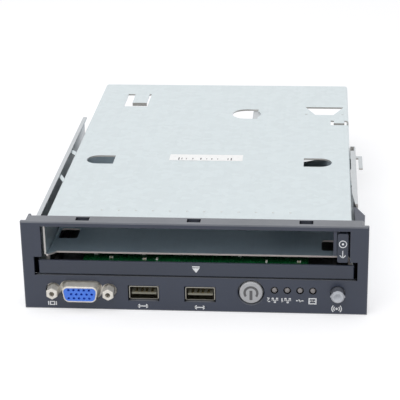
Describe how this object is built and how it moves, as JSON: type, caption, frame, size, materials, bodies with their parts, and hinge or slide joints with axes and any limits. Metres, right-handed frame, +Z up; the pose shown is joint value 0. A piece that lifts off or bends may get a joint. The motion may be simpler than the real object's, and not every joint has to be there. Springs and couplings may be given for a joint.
{
  "type": "server front media bay",
  "caption": "Front media bay of a rack server: dark bezel with video and data sockets, buttons and status lights, a slide-out display tray and a steel cage for a slim disc drive.",
  "frame": {"origin": "middle of the bounding box at its bottom, which is the surface that it stands on", "axes": "+X to the right of someone facing the bezel, +Y from the bezel back into the cage, +Z up as it lies in the picture, which is upside down for its printed marks"},
  "size_m": [0.152, 0.2048, 0.042],
  "materials": {
    "bezel_plastic": "fine-grained moulded plastic, dark blue-grey",
    "galvanised_sheet": "pale zinc-coated sheet",
    "screw_steel": "plain zinc-plated steel",
    "socket_plate": "nickel plate, slightly warm",
    "port_steel": "bright nickel plate",
    "video_blue": "bright blue moulding",
    "contact_gold": "gold flash",
    "port_black": "black moulding",
    "button_silver": "silver paint on plastic, satin",
    "switch_black": "black moulding",
    "frosted_clear": "frosted clear plastic",
    "light_clear": "smoky clear plastic",
    "lamp_white": "white lamp body",
    "board_green": "green solder mask",
    "socket_ivory": "ivory moulding",
    "chip_black": "moulded chip body",
    "guide_black": "low-friction black moulding",
    "spring_steel": "bright spring steel"
  },
  "bodies": {
    "chassis": {"bezel": "bezel_plastic", "drive_cage": "galvanised_sheet", "drive_shelf": "galvanised_sheet", "base_pan": "galvanised_sheet", "video_shell": "socket_plate", "video_insulator": "video_blue", "video_contacts": "contact_gold", "jackscrews": "socket_plate", "data_port_shell_left": "port_steel", "data_port_shell_right": "port_steel", "data_port_insulator_left": "socket_ivory", "data_port_insulator_right": "socket_ivory", "data_port_contacts_left": "contact_gold", "data_port_contacts_right": "contact_gold", "power_switch": "switch_black", "ident_switch": "switch_black", "light_pipe": "light_clear", "status_lamps": "lamp_white", "control_board": "board_green", "board_screws": "screw_steel", "cable_header": "port_black", "header_pins": "contact_gold", "ribbon_socket": "socket_ivory", "board_chips": "chip_black", "tray_guide_left": "guide_black", "tray_guide_right": "guide_black", "tray_catch": "guide_black", "release_spring": "spring_steel", "connector_bracket": "galvanised_sheet", "connector_board": "board_green", "drive_connector": "port_black"},
    "tray": {"display_tray": "guide_black", "tray_front": "bezel_plastic", "display_board": "board_green", "display_lamps": "lamp_white", "display_ribbon_socket": "socket_ivory"},
    "power_key": {"power_button": "button_silver", "power_plunger": "switch_black"},
    "ident_key": {"ident_button": "frosted_clear", "ident_plunger": "switch_black"},
    "release": {"release_slider": "bezel_plastic"}
  },
  "joints": [
    {"name": "tray_slide", "type": "slide", "parent": "chassis", "child": "tray", "axis": [0, -1, 0], "range_m": [-0.0015, 0.04]},
    {"name": "power_press", "type": "slide", "parent": "chassis", "child": "power_key", "axis": [0, 1, 0], "range_m": [0, 0.001], "stiffness_N_per_m": 1800},
    {"name": "ident_press", "type": "slide", "parent": "chassis", "child": "ident_key", "axis": [0, 1, 0], "range_m": [0, 0.0008], "stiffness_N_per_m": 1800},
    {"name": "release_push", "type": "slide", "parent": "chassis", "child": "release", "axis": [0, 1, 0], "range_m": [0, 0.0035], "stiffness_N_per_m": 700, "deforming": ["release_spring"]}
  ]
}
